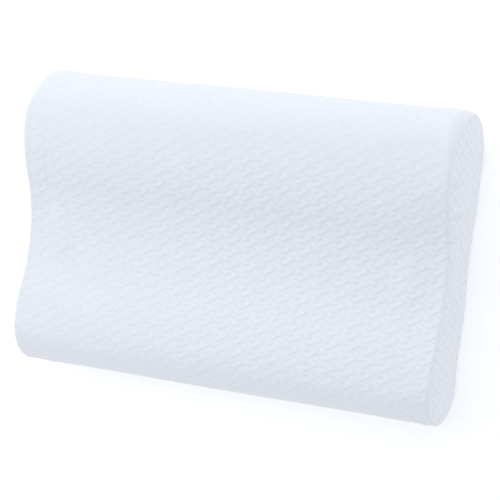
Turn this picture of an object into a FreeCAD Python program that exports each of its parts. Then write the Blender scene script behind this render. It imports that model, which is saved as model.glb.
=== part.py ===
"""Contour bed pillow: foam core in a liner, inside a zipped quilted cover.

X runs along the pillow, +Y points to the rear (high lobe), +Z is up.  The origin is on the
resting face, under the middle of the pillow.  Every length is in millimetres.
"""
import FreeCAD, Part
import math
import os

import Sketcher

doc = FreeCAD.newDocument("contour_pillow")

# ---------------------------------------------------------------- driving dimensions
DIMENSIONS = {
    # the outside of the cover
    "width": 500,
    "depth": 330,
    "high_lobe": 108,
    "low_lobe": 86,
    "valley": 72,
    "valley_place": 33,
    "rear_upper_radius": 58,
    "front_upper_radius": 44,
    # layers, from the outside inwards
    "cover_thickness": 2,
    "cover_gap": 1,
    "liner_thickness": 0.6,
    "layer_clearance": 0.15,
    "sewing_clearance": 0.1,
    "thread_size": 0.6,
    "front_seam_angle": 45,
    # the zip, on the lower rear curve
    "zip_angle": 30,
    "zip_slot_length": 446,
    "zip_slot_width": 12,
    "coil_length": 416,
    "coil_width": 2.6,
    "coil_height": 1.8,
    "coil_gap": 1.5,
    "tape_length": 470,
    "tape_width": 13,
    "tape_thickness": 0.6,
    "stitch_size": 0.4,
    "stitch_place": 7.6,
    "stop_length": 3,
    "stop_height": 1.7,
    "seat_clearance": 0.03,
    # the slider and its pull tab
    "slider_travel_end": 201,
    "slider_length": 10,
    "slider_width": 9.8,
    "slider_plate": 1.1,
    "slider_clearance": 0.35,
    "slider_lower_clearance": 0.55,
    "slider_lower_width": 8.8,
    "slider_waist": 0.8,
    "flange_foot": 0.45,
    "flange_clearance": 0.4,
    "bridge_length": 7.2,
    "bridge_width": 2,
    "bridge_strap": 0.9,
    "tab_length": 22,
    "tab_width": 6,
    "tab_thickness": 1.1,
    "tab_corner": 1.6,
    "tab_hole_radius": 1.8,
    "tab_bar_rounding": 0.5,
    # the label
    "label_length": 42,
    "label_width": 30,
    "label_thickness": 0.15,
}


def make_sheet():
    """Put each driving dimension in its own row, with its name as the alias."""
    table = doc.addObject("Spreadsheet::Sheet", "sizes")
    for row, (name, number) in enumerate(DIMENSIONS.items(), start=1):
        table.set(f"A{row}", name)
        table.set(f"B{row}", str(number))
        table.setAlias(f"B{row}", name)
    doc.recompute()
    return table


sheet = make_sheet()


class Size:
    """A length or angle that carries its number and the sheet expression that gives it."""

    def __init__(self, value, text):
        self.value = value
        self.text = text

    def join(self, other, value, sign):
        return Size(value, f"({self.text} {sign} {size(other).text})")

    def __add__(self, other):
        return self.join(other, self.value + size(other).value, "+")

    def __sub__(self, other):
        return self.join(other, self.value - size(other).value, "-")

    def __mul__(self, other):
        return self.join(other, self.value * size(other).value, "*")

    def __truediv__(self, other):
        return self.join(other, self.value / size(other).value, "/")

    def __neg__(self):
        return Size(-self.value, f"(-1 * {self.text})")


def size(item):
    """Turn a plain number, or the name of a sheet cell, into a Size."""
    if isinstance(item, Size):
        return item
    if isinstance(item, str):
        return Size(float(sheet.get(item)), f"sizes.{item}")
    return Size(float(item), str(item))


def cosine(angle):
    return Size(math.cos(math.radians(angle.value)), f"cos({angle.text})")


def sine(angle):
    return Size(math.sin(math.radians(angle.value)), f"sin({angle.text})")


def inverse_cosine(ratio):
    """The angle in degrees; it only starts a sketch off, and constraints set the real one."""
    return math.degrees(math.acos(ratio.value))


# ---------------------------------------------------------------- sizes worked out from those
HALF_DEPTH = size("depth") / 2
HIGH = size("high_lobe")
LOW = size("low_lobe")
VALLEY = size("valley")
VALLEY_Y = -size("valley_place")
REAR_UPPER = size("rear_upper_radius")
REAR_LOWER = HIGH - REAR_UPPER
FRONT_UPPER = size("front_upper_radius")
FRONT_LOWER = LOW - FRONT_UPPER
REAR_CREST_Y = HALF_DEPTH - REAR_UPPER
REAR_EDGE_Y = HALF_DEPTH - REAR_LOWER
FRONT_CREST_Y = FRONT_UPPER - HALF_DEPTH
FRONT_EDGE_Y = FRONT_LOWER - HALF_DEPTH

COVER = size("cover_thickness")
CLEARANCE = size("layer_clearance")
LINER_OUT = COVER + size("cover_gap")
LINER_IN = LINER_OUT + size("liner_thickness")
CORE_IN = LINER_IN + CLEARANCE

ZIP_ANGLE = size("zip_angle")
TAPE_TOP = COVER + CLEARANCE
TAPE_BOTTOM = TAPE_TOP + size("tape_thickness")
PLATE = size("slider_plate")
SLIDER_CLEARANCE = size("slider_clearance")
COIL_HEIGHT = size("coil_height")
COIL_GAP_HALF = size("coil_gap") / 2
PLATE_TOP_UNDER = COIL_HEIGHT + SLIDER_CLEARANCE
PLATE_TOP_OVER = PLATE_TOP_UNDER + PLATE
PLATE_LOW_OVER = -(size("tape_thickness") + size("slider_lower_clearance"))
PLATE_LOW_UNDER = PLATE_LOW_OVER - PLATE
LINER_FLAT = TAPE_TOP - PLATE_LOW_UNDER + SLIDER_CLEARANCE
TAB_HALF = size("tab_thickness") / 2
TAB_AXIS_HEIGHT = PLATE_TOP_OVER + SLIDER_CLEARANCE + TAB_HALF
HALF_WIDTH = size("width") / 2


def ramp_radius(run, rise):
    """Radius of two equal arcs that join two level tangents by a smooth ramp."""
    return (run * run + rise * rise) / (rise * 4)


REAR_RAMP = ramp_radius(REAR_CREST_Y - VALLEY_Y, HIGH - VALLEY)
FRONT_RAMP = ramp_radius(VALLEY_Y - FRONT_CREST_Y, LOW - VALLEY)


# ---------------------------------------------------------------- sketch helpers
ORIGIN = (-1, 1)
START, END, CENTRE = 1, 2, 3
UP = FreeCAD.Vector(0, 0, 1)
X_AXIS = FreeCAD.Vector(1, 0, 0)


def new_body(name):
    body = doc.addObject("PartDesign::Body", name)
    body.Label = name
    return body


def new_sketch(body, name, plane_role):
    """A sketch on one of the body's own origin planes."""
    sketch = body.newObject("Sketcher::SketchObject", name)
    plane = next(f for f in body.Origin.OriginFeatures if f.Role == plane_role)
    sketch.AttachmentSupport = [(plane, "")]
    sketch.MapMode = "FlatFace"
    return sketch


def bind(sketch, kind, points, length):
    """Add a constraint whose size is an expression of the sheet."""
    index = sketch.addConstraint(Sketcher.Constraint(kind, *points, length.value))
    sketch.setExpression(f"Constraints[{index}]", length.text)


def place(sketch, item, position, across, up):
    """Fix a point of a sketch element by its two coordinates."""
    bind(sketch, "DistanceX", (*ORIGIN, item, position), across)
    bind(sketch, "DistanceY", (*ORIGIN, item, position), up)


def draw_polygon(sketch, corners):
    """A closed polygon whose corners are pairs of Size."""
    points = [FreeCAD.Vector(across.value, up.value, 0) for across, up in corners]
    lines = []
    for first, second in zip(points, points[1:] + points[:1]):
        lines.append(sketch.addGeometry(Part.LineSegment(first, second), False))
    for line, following in zip(lines, lines[1:] + lines[:1]):
        sketch.addConstraint(Sketcher.Constraint("Coincident", line, END, following, START))
    for line, (across, up) in zip(lines, corners):
        place(sketch, line, START, across, up)


def draw_rectangle(sketch, low, high):
    (x0, y0), (x1, y1) = low, high
    draw_polygon(sketch, [(x0, y0), (x1, y0), (x1, y1), (x0, y1)])


def draw_circle(sketch, across, up, radius):
    centre = FreeCAD.Vector(across.value, up.value, 0)
    circle = sketch.addGeometry(Part.Circle(centre, UP, radius.value), False)
    place(sketch, circle, CENTRE, across, up)
    bind(sketch, "Radius", (circle,), radius)


def add_arc(sketch, across, up, radius, first, last):
    """An arc drawn from its starting values only; the caller constrains it."""
    circle = Part.Circle(FreeCAD.Vector(across.value, up.value, 0), UP, radius.value)
    arc = Part.ArcOfCircle(circle, math.radians(first), math.radians(last))
    return sketch.addGeometry(arc, False)


def draw_contour(sketch, inset, flat=None):
    """The pillow's section, moved inwards by inset: tangent arcs and a level underside.

    flat, where given, is how deep below the cover's outside a flat lies behind the zip.
    """
    rear_bend = math.degrees(math.asin(((REAR_CREST_Y - VALLEY_Y) / (REAR_RAMP * 2)).value))
    front_bend = math.degrees(math.asin(((VALLEY_Y - FRONT_CREST_Y) / (FRONT_RAMP * 2)).value))
    top = HIGH - REAR_RAMP
    low_top = LOW - FRONT_RAMP
    # each entry: centre, radius, first and last angle, and which end the outline comes in by
    arcs = [
        (REAR_CREST_Y, REAR_LOWER, REAR_UPPER - inset, 0, 90, START),
        (REAR_CREST_Y, top, REAR_RAMP - inset, 90, 90 + rear_bend, START),
        (VALLEY_Y, VALLEY + REAR_RAMP, REAR_RAMP + inset, 270, 270 + rear_bend, END),
        (VALLEY_Y, VALLEY + FRONT_RAMP, FRONT_RAMP + inset, 270 - front_bend, 270, END),
        (FRONT_CREST_Y, low_top, FRONT_RAMP - inset, 90 - front_bend, 90, START),
        (FRONT_CREST_Y, FRONT_LOWER, FRONT_UPPER - inset, 90, 180, START),
        (FRONT_EDGE_Y, FRONT_LOWER, FRONT_LOWER - inset, 180, 270, START),
    ]
    items = []
    for across, up, radius, first, last, way_in in arcs:
        arc = add_arc(sketch, across, up, radius, first, last)
        bind(sketch, "Radius", (arc,), radius)
        items.append((arc, way_in, END if way_in == START else START))
    rear_upper, rear_crest, rear_valley, front_valley, front_crest, front_upper, front_lower = (
        item[0] for item in items)

    level = [FreeCAD.Vector(y.value, inset.value, 0) for y in (FRONT_EDGE_Y, REAR_EDGE_Y)]
    underside = sketch.addGeometry(Part.LineSegment(*level), False)
    items.append((underside, START, END))
    items += draw_rear_lower(sketch, inset, flat)

    tangent_joins = [(rear_crest, rear_valley), (front_valley, front_crest)]
    for (item, _, way_out), (following, way_in, _) in zip(items, items[1:] + items[:1]):
        kind = "Tangent" if (item, following) in tangent_joins else "Coincident"
        sketch.addConstraint(Sketcher.Constraint(kind, item, way_out, following, way_in))

    def level_with(kind, item, position):
        sketch.addConstraint(Sketcher.Constraint(kind, item, CENTRE, item, position))

    level_with("Horizontal", rear_upper, START)
    level_with("Vertical", rear_upper, END)
    level_with("Vertical", rear_crest, START)
    level_with("Vertical", rear_valley, START)
    level_with("Vertical", front_valley, END)
    level_with("Vertical", front_crest, END)
    level_with("Vertical", front_upper, START)
    level_with("Horizontal", front_upper, END)
    level_with("Horizontal", front_lower, START)
    level_with("Vertical", front_lower, END)
    bind(sketch, "DistanceX", (*ORIGIN, rear_valley, START), VALLEY_Y)
    bind(sketch, "DistanceX", (*ORIGIN, front_crest, END), FRONT_CREST_Y)


def draw_rear_lower(sketch, inset, flat):
    """The lower rear curve, in one arc, or in two arcs with a flat between them."""
    radius = REAR_LOWER - inset
    if flat is None:
        arc = add_arc(sketch, REAR_EDGE_Y, REAR_LOWER, radius, -90, 0)
        parts = [(arc, START, END)]
    else:
        flat_radius = REAR_LOWER - flat
        half = inverse_cosine(flat_radius / radius)
        middle = -ZIP_ANGLE.value
        arc = add_arc(sketch, REAR_EDGE_Y, REAR_LOWER, radius, -90, middle - half)
        upper = add_arc(sketch, REAR_EDGE_Y, REAR_LOWER, radius, middle + half, 0)
        ends = []
        for angle in (math.radians(middle - half), math.radians(middle + half)):
            across = REAR_EDGE_Y.value + radius.value * math.cos(angle)
            ends.append(FreeCAD.Vector(across, REAR_LOWER.value + radius.value * math.sin(angle), 0))
        chord = sketch.addGeometry(Part.LineSegment(*ends), False)
        parts = [(arc, START, END), (chord, START, END), (upper, START, END)]
        sketch.addConstraint(Sketcher.Constraint("Coincident", arc, CENTRE, upper, CENTRE))
        sketch.addConstraint(Sketcher.Constraint("Equal", arc, upper))
        bind(sketch, "Distance", (arc, CENTRE, chord), flat_radius)
        slope = sketch.addConstraint(
            Sketcher.Constraint("Angle", chord, math.radians(90 - ZIP_ANGLE.value)))
        sketch.setExpression(f"Constraints[{slope}]", f"90 - {ZIP_ANGLE.text}")
    first, last = parts[0][0], parts[-1][0]
    place(sketch, first, CENTRE, REAR_EDGE_Y, REAR_LOWER)
    bind(sketch, "Radius", (first,), radius)
    sketch.addConstraint(Sketcher.Constraint("Vertical", first, CENTRE, first, START))
    sketch.addConstraint(Sketcher.Constraint("Horizontal", last, CENTRE, last, END))
    return parts


def extrude(body, sketch, length, kind="Pad", both_ways=True):
    """A pad or pocket of a sketch, half each way from its plane where both_ways is set."""
    feature = body.newObject(f"PartDesign::{kind}", f"{kind}_{sketch.Name}")
    feature.Profile = sketch
    feature.Length = length.value
    feature.setExpression("Length", length.text)
    if hasattr(feature, "SideType"):
        feature.SideType = "Symmetric" if both_ways else "One side"
    else:
        feature.Midplane = both_ways
    sketch.Visibility = False
    doc.recompute()
    return feature


def cut(body, sketch, length):
    """A pocket both ways, checked to have taken material away."""
    before = body.Shape.Volume
    feature = extrude(body, sketch, length, kind="Pocket")
    if not body.Shape.Volume < before - 1:
        raise RuntimeError(f"{feature.Name} cut nothing from {body.Label}")
    return feature


def along_x(body, distance):
    """Move a body along the pillow to a place that the sheet gives."""
    body.Placement.Base = FreeCAD.Vector(distance.value, 0, 0)
    body.setExpression("Placement.Base.x", distance.text)


def at_zip(body, distance):
    """Put a body in the zip's own frame: X along it, Z out of the pillow, origin on the tapes."""
    radius = REAR_LOWER - TAPE_TOP
    across = REAR_EDGE_Y + cosine(ZIP_ANGLE) * radius
    up = REAR_LOWER - sine(ZIP_ANGLE) * radius
    turn = -(ZIP_ANGLE + 90)
    body.Placement = FreeCAD.Placement(
        FreeCAD.Vector(distance.value, across.value, up.value),
        FreeCAD.Rotation(X_AXIS, turn.value))
    body.setExpression("Placement.Base.x", distance.text)
    body.setExpression("Placement.Base.y", across.text)
    body.setExpression("Placement.Base.z", up.text)


# ---------------------------------------------------------------- foam and liner
def contour_solid(name, length, inset, inner=None, flat=None, inner_flat=None):
    """The contour section extruded along X, hollow where an inner inset is given."""
    body = new_body(name)
    sketch = new_sketch(body, f"section_{name}", "YZ_Plane")
    draw_contour(sketch, inset, flat)
    if inner is not None:
        draw_contour(sketch, inner, inner_flat)
    extrude(body, sketch, length)
    return body


def make_foam_core():
    flat = LINER_FLAT + size("liner_thickness") + CLEARANCE
    end_inset = COVER + size("cover_gap") + size("liner_thickness") + CLEARANCE
    return contour_solid("foam_core", size("width") - end_inset * 2, CORE_IN, flat=flat)


def make_liner():
    thickness = size("liner_thickness")
    end_face = COVER + size("cover_gap")
    wrap_length = size("width") - (end_face + thickness + size("sewing_clearance")) * 2
    pieces = [contour_solid("liner_wrap", wrap_length, LINER_OUT, LINER_IN, LINER_FLAT,
                            LINER_FLAT + thickness)]
    for side, sign in (("left", -1), ("right", 1)):
        panel = contour_solid(f"liner_end_{side}", thickness, LINER_OUT, flat=LINER_FLAT)
        along_x(panel, (HALF_WIDTH - end_face - thickness / 2) * sign)
        pieces.append(panel)
    return pieces


# ---------------------------------------------------------------- outer cover
def zip_point(radius, across):
    """A point given by its radius at the zip and its distance below the zip's middle line."""
    along = cosine(ZIP_ANGLE) * radius - sine(ZIP_ANGLE) * across
    down = sine(ZIP_ANGLE) * radius + cosine(ZIP_ANGLE) * across
    return REAR_EDGE_Y + along, REAR_LOWER - down


def front_point(radius, above):
    """A point given by its radius at the front seam and its distance above that seam."""
    angle = size("front_seam_angle")
    along = cosine(angle) * radius + sine(angle) * above
    down = sine(angle) * radius - cosine(angle) * above
    return FRONT_EDGE_Y - along, FRONT_LOWER - down


def cover_panel(name, top):
    """One half of the cover's wrap; the seam line and the zip line part the two halves."""
    length = size("width") - (COVER + CLEARANCE) * 2
    body = contour_solid(name, length, size(0), COVER)
    side = 1 if top else -1
    gap = CLEARANCE / 2 * side
    seam_end = LOW
    beyond = size("depth")
    other_side = -HIGH if top else HIGH * 2
    sketch = new_sketch(body, f"other_half_{name}", "YZ_Plane")
    draw_polygon(sketch, [
        front_point(size(0), gap), front_point(seam_end, gap), (-beyond, other_side),
        (beyond, other_side), zip_point(seam_end, -gap), zip_point(size(0), -gap)])
    cut(body, sketch, size("width") * 2)
    slot = new_sketch(body, f"slot_{name}", "YZ_Plane")
    half = size("zip_slot_width") / 2
    inner = REAR_LOWER - COVER * 3
    outer = REAR_LOWER + COVER
    draw_polygon(slot, [zip_point(inner, -half), zip_point(outer, -half),
                        zip_point(outer, half), zip_point(inner, half)])
    cut(body, slot, size("zip_slot_length"))
    return body


def make_cover():
    pieces = [cover_panel("cover_top_panel", True), cover_panel("cover_bottom_panel", False)]
    for side, sign in (("left", -1), ("right", 1)):
        panel = contour_solid(f"cover_end_{side}", COVER, size(0))
        along_x(panel, (HALF_WIDTH - COVER / 2) * sign)
        pieces.append(panel)
    return pieces


# ---------------------------------------------------------------- threads and label
def make_threads():
    """The seam threads: a loop in each end corner of cover and liner, and the front seam."""
    thread = size("thread_size")
    pieces = []
    loops = [
        ("seam_thread", COVER + CLEARANCE, COVER + CLEARANCE * 2),
        ("liner_thread", LINER_OUT - thread - size("sewing_clearance"), LINER_OUT + CLEARANCE * 2),
    ]
    for name, inset, end_inset in loops:
        for side, sign in (("left", -1), ("right", 1)):
            loop = contour_solid(f"{name}_{side}", thread, inset, inset + thread)
            along_x(loop, (HALF_WIDTH - end_inset - thread / 2) * sign)
            pieces.append(loop)
    front = new_body("seam_thread_front")
    sketch = new_sketch(front, "section_seam_thread_front", "YZ_Plane")
    outer = FRONT_LOWER - COVER - CLEARANCE
    half = thread / 2
    draw_polygon(sketch, [front_point(outer - thread, -half), front_point(outer, -half),
                          front_point(outer, half), front_point(outer - thread, half)])
    extrude(front, sketch, size("width") - (LINER_OUT + thread * 2) * 2)
    return pieces + [front]


def make_label():
    """A blank woven label, flat inside the cover, with one end in the left end seam."""
    label = doc.addObject("Part::Box", "care_label")
    label.Label = "care_label"
    for side, name in (("Length", "label_length"), ("Width", "label_width"),
                       ("Height", "label_thickness")):
        label.setExpression(side, size(name).text)
    left = -(HALF_WIDTH - LINER_OUT)
    label.Placement.Base = FreeCAD.Vector(left.value, 0, COVER.value)
    label.setExpression("Placement.Base.x", left.text)
    label.setExpression("Placement.Base.z", (COVER + CLEARANCE / 3).text)
    return label


# ---------------------------------------------------------------- zip
def zip_bar(name, low, high, length, distance):
    """A bar along the zip; low and high are its corners across the zip and out of it."""
    body = new_body(name)
    sketch = new_sketch(body, f"section_{name}", "YZ_Plane")
    draw_rectangle(sketch, low, high)
    extrude(body, sketch, length)
    at_zip(body, distance)
    return body


def round_edges_along_x(body, radius, picks):
    """Fillet the long edges of the body's tip that picks accepts by their middle point."""
    base = body.Tip
    names = []
    for number, edge in enumerate(base.Shape.Edges, start=1):
        ends = [vertex.Point for vertex in edge.Vertexes]
        if len(ends) == 2 and abs((ends[1] - ends[0]).normalize().x) > 0.999:
            if picks((ends[0] + ends[1]) / 2):
                names.append(f"Edge{number}")
    fillet = body.newObject("PartDesign::Fillet", f"round_{body.Name}")
    fillet.Base = (base, names)
    fillet.Radius = radius.value
    fillet.setExpression("Radius", radius.text)
    doc.recompute()
    return fillet


def make_tape(name, side):
    """A woven tape, curved with the cover; side is +1 below the zip line and -1 above it."""
    body = new_body(name)
    sketch = new_sketch(body, f"section_{name}", "YZ_Plane")
    radii = (REAR_LOWER - TAPE_TOP, REAR_LOWER - TAPE_BOTTOM)
    turns = []
    for across in (COIL_GAP_HALF, size("tape_width")):
        turns.append(across / radii[0] * 180 / math.pi * -side - ZIP_ANGLE)
    turns.sort(key=lambda turn: turn.value)
    angles = [turn.value for turn in turns]
    arcs = [add_arc(sketch, REAR_EDGE_Y, REAR_LOWER, radius, *angles) for radius in radii]
    for arc, radius in zip(arcs, radii):
        place(sketch, arc, CENTRE, REAR_EDGE_Y, REAR_LOWER)
        bind(sketch, "Radius", (arc,), radius)
        for position, turn in zip((START, END), turns):
            bind(sketch, "DistanceY", (*ORIGIN, arc, position), REAR_LOWER + sine(turn) * radius)
    for position, turn in zip((START, END), turns):
        ends = []
        for radius in radii:
            across = REAR_EDGE_Y + cosine(turn) * radius
            up = REAR_LOWER + sine(turn) * radius
            ends.append(FreeCAD.Vector(across.value, up.value, 0))
        line = sketch.addGeometry(Part.LineSegment(*ends), False)
        sketch.addConstraint(Sketcher.Constraint("Coincident", line, START, arcs[0], position))
        sketch.addConstraint(Sketcher.Constraint("Coincident", line, END, arcs[1], position))
    extrude(body, sketch, size("tape_length"))
    return body


def make_stitch(name, side):
    """The row of top-stitching on the cover beside the zip slot."""
    body = new_body(name)
    sketch = new_sketch(body, f"section_{name}", "YZ_Plane")
    thread = size("stitch_size")
    turn = size("stitch_place") / REAR_LOWER * 180 / math.pi * side + ZIP_ANGLE
    seat = REAR_LOWER + size("seat_clearance")
    half = thread / 2
    corners = []
    for distance, offset in ((seat, -half), (seat + thread, -half), (seat + thread, half),
                             (seat, half)):
        corners.append((REAR_EDGE_Y + cosine(turn) * distance - sine(turn) * offset,
                        REAR_LOWER - sine(turn) * distance - cosine(turn) * offset))
    draw_polygon(sketch, corners)
    extrude(body, sketch, size("zip_slot_length"))
    return body


def make_zip_chain():
    """Tapes, coils, top-stitching and stops."""
    coil_far = COIL_GAP_HALF + size("coil_width")
    stop = size("stop_length")
    stop_place = size("coil_length") / 2 + stop / 2 + CLEARANCE
    stop_height = size("stop_height")
    lift = size("seat_clearance")
    pieces = []
    for half, side in (("lower", 1), ("upper", -1)):
        pieces.append(make_tape(f"zip_tape_{half}", side))
        pieces.append(make_stitch(f"zip_stitch_{half}", side))
        near, far = (COIL_GAP_HALF, coil_far) if side > 0 else (-coil_far, -COIL_GAP_HALF)
        coil = zip_bar(f"zip_coil_{half}", (near, lift), (far, COIL_HEIGHT), size("coil_length"),
                       size(0))
        round_edges_along_x(coil, COIL_HEIGHT / 3, lambda middle: middle.z > COIL_HEIGHT.value / 2)
        pieces.append(coil)
        pieces.append(zip_bar(f"zip_top_stop_{half}", (near, lift), (far, stop_height), stop,
                              stop_place))
    pieces.append(zip_bar("zip_bottom_stop", (-coil_far, lift), (coil_far, stop_height), stop,
                          -stop_place))
    return pieces


def make_slider():
    """Two plates round the coils, side flanges, the dividing post, and the pull's bridge."""
    body = new_body("zip_slider_body")
    half_width = size("slider_width") / 2
    post = COIL_GAP_HALF - SLIDER_CLEARANCE
    flange_near = COIL_GAP_HALF + size("coil_width") + size("flange_clearance")
    flange_low = size("flange_foot")
    low_half = size("slider_lower_width") / 2
    # section across the zip: upper plate with its flanges, post, lower plate
    outline = [
        (-low_half, PLATE_LOW_UNDER), (low_half, PLATE_LOW_UNDER), (low_half, PLATE_LOW_OVER),
        (post, PLATE_LOW_OVER), (post, PLATE_TOP_UNDER), (flange_near, PLATE_TOP_UNDER),
        (flange_near, flange_low), (half_width, flange_low), (half_width, PLATE_TOP_OVER),
        (-half_width, PLATE_TOP_OVER), (-half_width, flange_low), (-flange_near, flange_low),
        (-flange_near, PLATE_TOP_UNDER), (-post, PLATE_TOP_UNDER), (-post, PLATE_LOW_OVER),
        (-low_half, PLATE_LOW_OVER)]
    section = new_sketch(body, "section_slider", "YZ_Plane")
    draw_polygon(section, outline)
    extrude(body, section, size("slider_length"))

    # the post only stands near the leading end, so the channels behind it are open
    channel = new_sketch(body, "channel_behind_post", "XZ_Plane")
    half_length = size("slider_length") / 2
    beyond = size("slider_length")
    draw_rectangle(channel, (-beyond, PLATE_LOW_OVER),
                   (half_length / 5, PLATE_TOP_UNDER))
    cut(body, channel, flange_near * 2)

    # the waist: both plates narrow towards the closed end of the channels
    waist = new_sketch(body, "tapered_sides", "XY_Plane")
    narrow = half_width - size("slider_waist")
    for side in (1, -1):
        draw_polygon(waist, [(-half_length, narrow * side), (size(0), half_width * side),
                             (size(0), beyond * side), (-beyond, beyond * side),
                             (-beyond, narrow * side)])
    cut(body, waist, size("slider_length") * 2)

    # the bridge that holds the pull tab: a strap along the slider with an open loop under it
    bridge = new_sketch(body, "bridge_outline", "XZ_Plane")
    reach = size("bridge_length") / 2
    strap = size("bridge_strap")
    loop_top = TAB_AXIS_HEIGHT + TAB_HALF + SLIDER_CLEARANCE
    draw_polygon(bridge, [
        (-reach, PLATE_TOP_OVER), (-reach + strap, PLATE_TOP_OVER), (-reach + strap, loop_top),
        (reach - strap, loop_top), (reach - strap, PLATE_TOP_OVER), (reach, PLATE_TOP_OVER),
        (reach, loop_top), (reach - strap, loop_top + strap),
        (-reach + strap, loop_top + strap), (-reach, loop_top)])
    extrude(body, bridge, size("bridge_width"))
    at_zip(body, size("slider_travel_end"))
    return body


def make_pull_tab():
    """A flat pull: a cross bar under the bridge, two arms beside it and a paddle with a hole."""
    body = new_body("zip_pull_tab")
    half = size("tab_width") / 2
    reach = size("bridge_length") / 2
    length = size("tab_length")
    inner = size("bridge_width") / 2 + SLIDER_CLEARANCE
    eye = reach + SLIDER_CLEARANCE * 3
    plate = new_sketch(body, "tab_outline", "XY_Plane")
    nose = size("tab_corner")
    draw_polygon(plate, [
        (TAB_HALF, -half + nose / 2), (TAB_HALF, half - nose / 2), (-reach, half),
        (-length + nose, half), (-length, half - nose), (-length, -half + nose),
        (-length + nose, -half), (-reach, -half)])
    draw_rectangle(plate, (-eye, -inner), (-TAB_HALF, inner))
    draw_circle(plate, -length + half, size(0), size("tab_hole_radius"))
    extrude(body, plate, size("tab_thickness"))
    round_tab_bar(body, half)
    at_zip(body, size("slider_travel_end"))
    lift = REAR_LOWER - TAPE_TOP + TAB_AXIS_HEIGHT
    body.setExpression("Placement.Base.y", (REAR_EDGE_Y + cosine(ZIP_ANGLE) * lift).text)
    body.setExpression("Placement.Base.z", (REAR_LOWER - sine(ZIP_ANGLE) * lift).text)
    return body


def round_tab_bar(body, half):
    """Round the pull's cross bar, so that it turns freely under the bridge."""
    base = body.Tip
    names = []
    for number, edge in enumerate(base.Shape.Edges, start=1):
        middle = edge.CenterOfMass
        along_y = edge.Length > half.value and abs(middle.y) < 0.01
        if along_y and abs(middle.x - TAB_HALF.value) < 0.01:
            names.append(f"Edge{number}")
    fillet = body.newObject("PartDesign::Fillet", "round_cross_bar")
    fillet.Base = (base, names)
    rounding = size("tab_bar_rounding")
    fillet.Radius = rounding.value
    fillet.setExpression("Radius", rounding.text)
    doc.recompute()


# ---------------------------------------------------------------- build, check, write
def check(pieces):
    """Stop if an object failed to compute or a sub-part has no valid shape."""
    doc.recompute()
    for item in doc.Objects:
        if any(state in item.State for state in ("Invalid", "Error")):
            raise RuntimeError(f"{item.Label} failed: {item.State}")
    for piece in pieces:
        if piece.Shape.isNull() or not piece.Shape.isValid():
            raise RuntimeError(f"{piece.Label} has no valid shape")


def main():
    pieces = [make_foam_core(), *make_liner(), *make_cover(), *make_threads(), make_label(),
              *make_zip_chain(), make_slider(), make_pull_tab()]
    check(pieces)
    os.makedirs("parts", exist_ok=True)
    for piece in pieces:
        piece.Shape.exportStep(os.path.join("parts", f"{piece.Label}.step"))
        box = piece.Shape.BoundBox
        print(f"{piece.Label}: {len(piece.Shape.Solids)} solid, {piece.Shape.Volume:.1f} mm3, "
              f"Y {box.YMin:.2f} to {box.YMax:.2f}, Z {box.ZMin:.2f} to {box.ZMax:.2f}")


main()
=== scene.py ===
"""Looks of the contour pillow: quilted knit cover, foam and liner inside it, and the rear zip."""
import math

import bpy
import numpy as np
from mathutils import Matrix, Vector
from mathutils.geometry import delaunay_2d_cdt


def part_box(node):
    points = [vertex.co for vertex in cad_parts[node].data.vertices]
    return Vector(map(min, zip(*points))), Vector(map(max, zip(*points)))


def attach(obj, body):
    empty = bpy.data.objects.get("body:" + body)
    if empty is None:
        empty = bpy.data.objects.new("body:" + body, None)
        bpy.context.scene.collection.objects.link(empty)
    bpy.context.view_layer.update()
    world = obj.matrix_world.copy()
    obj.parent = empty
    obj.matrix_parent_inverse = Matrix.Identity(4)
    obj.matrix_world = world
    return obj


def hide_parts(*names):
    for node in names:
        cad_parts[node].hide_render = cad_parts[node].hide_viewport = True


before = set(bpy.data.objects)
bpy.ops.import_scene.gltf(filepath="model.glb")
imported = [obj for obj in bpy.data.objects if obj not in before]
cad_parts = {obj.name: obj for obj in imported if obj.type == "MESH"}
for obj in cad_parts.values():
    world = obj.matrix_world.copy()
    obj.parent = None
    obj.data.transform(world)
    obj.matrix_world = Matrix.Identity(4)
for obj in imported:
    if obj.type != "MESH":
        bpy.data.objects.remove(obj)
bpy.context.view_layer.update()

MM = 0.001

# ---------------- sizes, in millimetres
HALF_WIDTH, HALF_DEPTH, HIGH = (float(size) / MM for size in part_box("cover_end_right")[1])
LOW = 86.0
VALLEY = 72.0
VALLEY_Y = -33.0
REAR_UPPER = 58.0
REAR_LOWER = HIGH - REAR_UPPER
FRONT_UPPER = 44.0
FRONT_LOWER = LOW - FRONT_UPPER
FRONT_SEAM_ANGLE = 45.0
ZIP_ANGLE = 30.0
COVER = 2.0
SLOT_HALF_LENGTH = 223.0
SLOT_HALF_WIDTH = 6.0


# ---------------- the contour
def ramp_radius(run, rise):
    return (run * run + rise * rise) / (4 * rise)


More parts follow.
